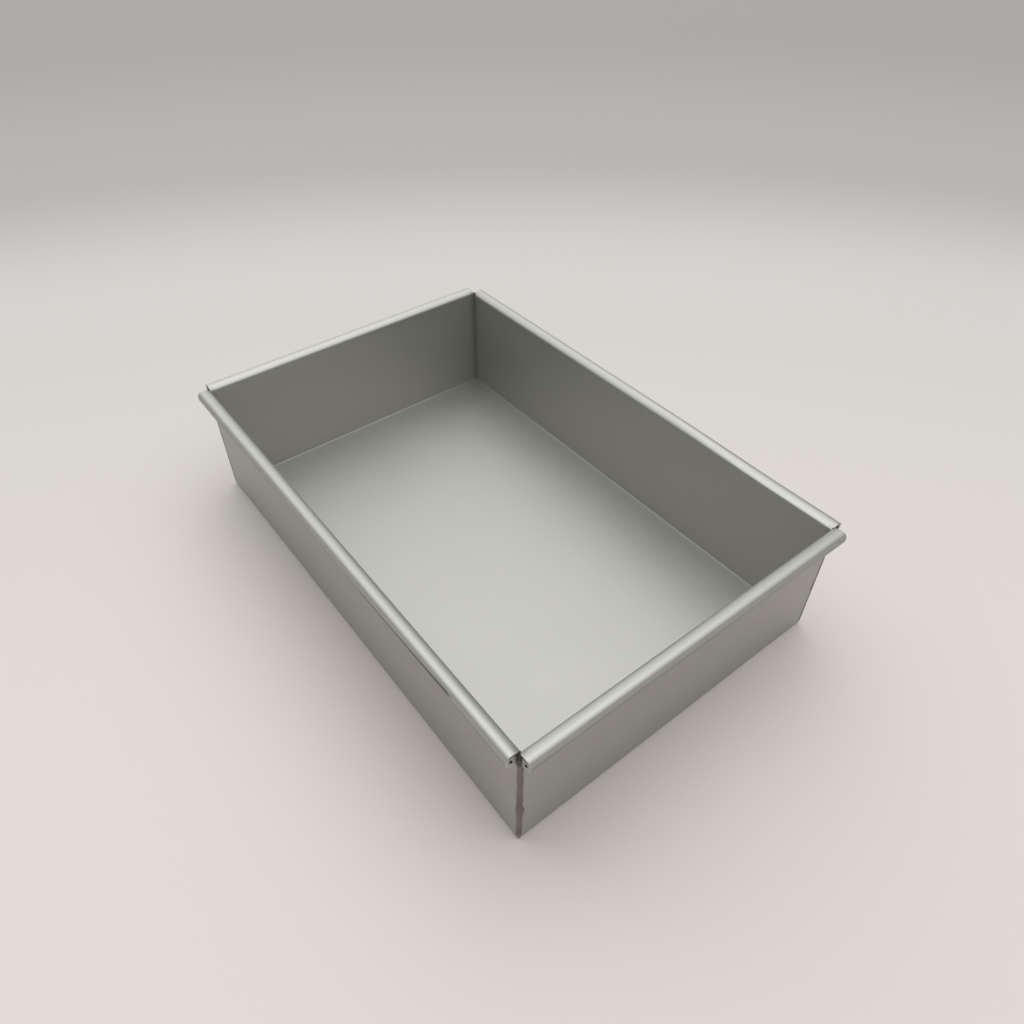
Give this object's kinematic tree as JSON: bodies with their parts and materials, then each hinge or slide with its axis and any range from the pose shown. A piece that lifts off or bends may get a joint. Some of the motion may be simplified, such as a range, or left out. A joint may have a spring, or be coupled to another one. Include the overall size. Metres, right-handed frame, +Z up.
{
  "type": "rectangular cake pan",
  "caption": "Straight-sided rectangular cake pan folded from aluminium sheet, with outward rolled rims that stop open at the corners and a weld bead up each corner.",
  "frame": {"origin": "under the middle of the floor, on the table that the pan stands on", "axes": "+X along the long walls, +Y along the short walls, +Z up out of the pan's mouth"},
  "size_m": [0.3214, 0.2164, 0.0775],
  "materials": {
    "satin_aluminium": "satin, as rolled",
    "weld_aluminium": "dull, as welded"
  },
  "bodies": {
    "root": {"pan_sheet": "satin_aluminium", "corner_weld_front_right": "weld_aluminium", "corner_weld_front_left": "weld_aluminium", "corner_weld_back_right": "weld_aluminium", "corner_weld_back_left": "weld_aluminium"}
  },
  "joints": []
}
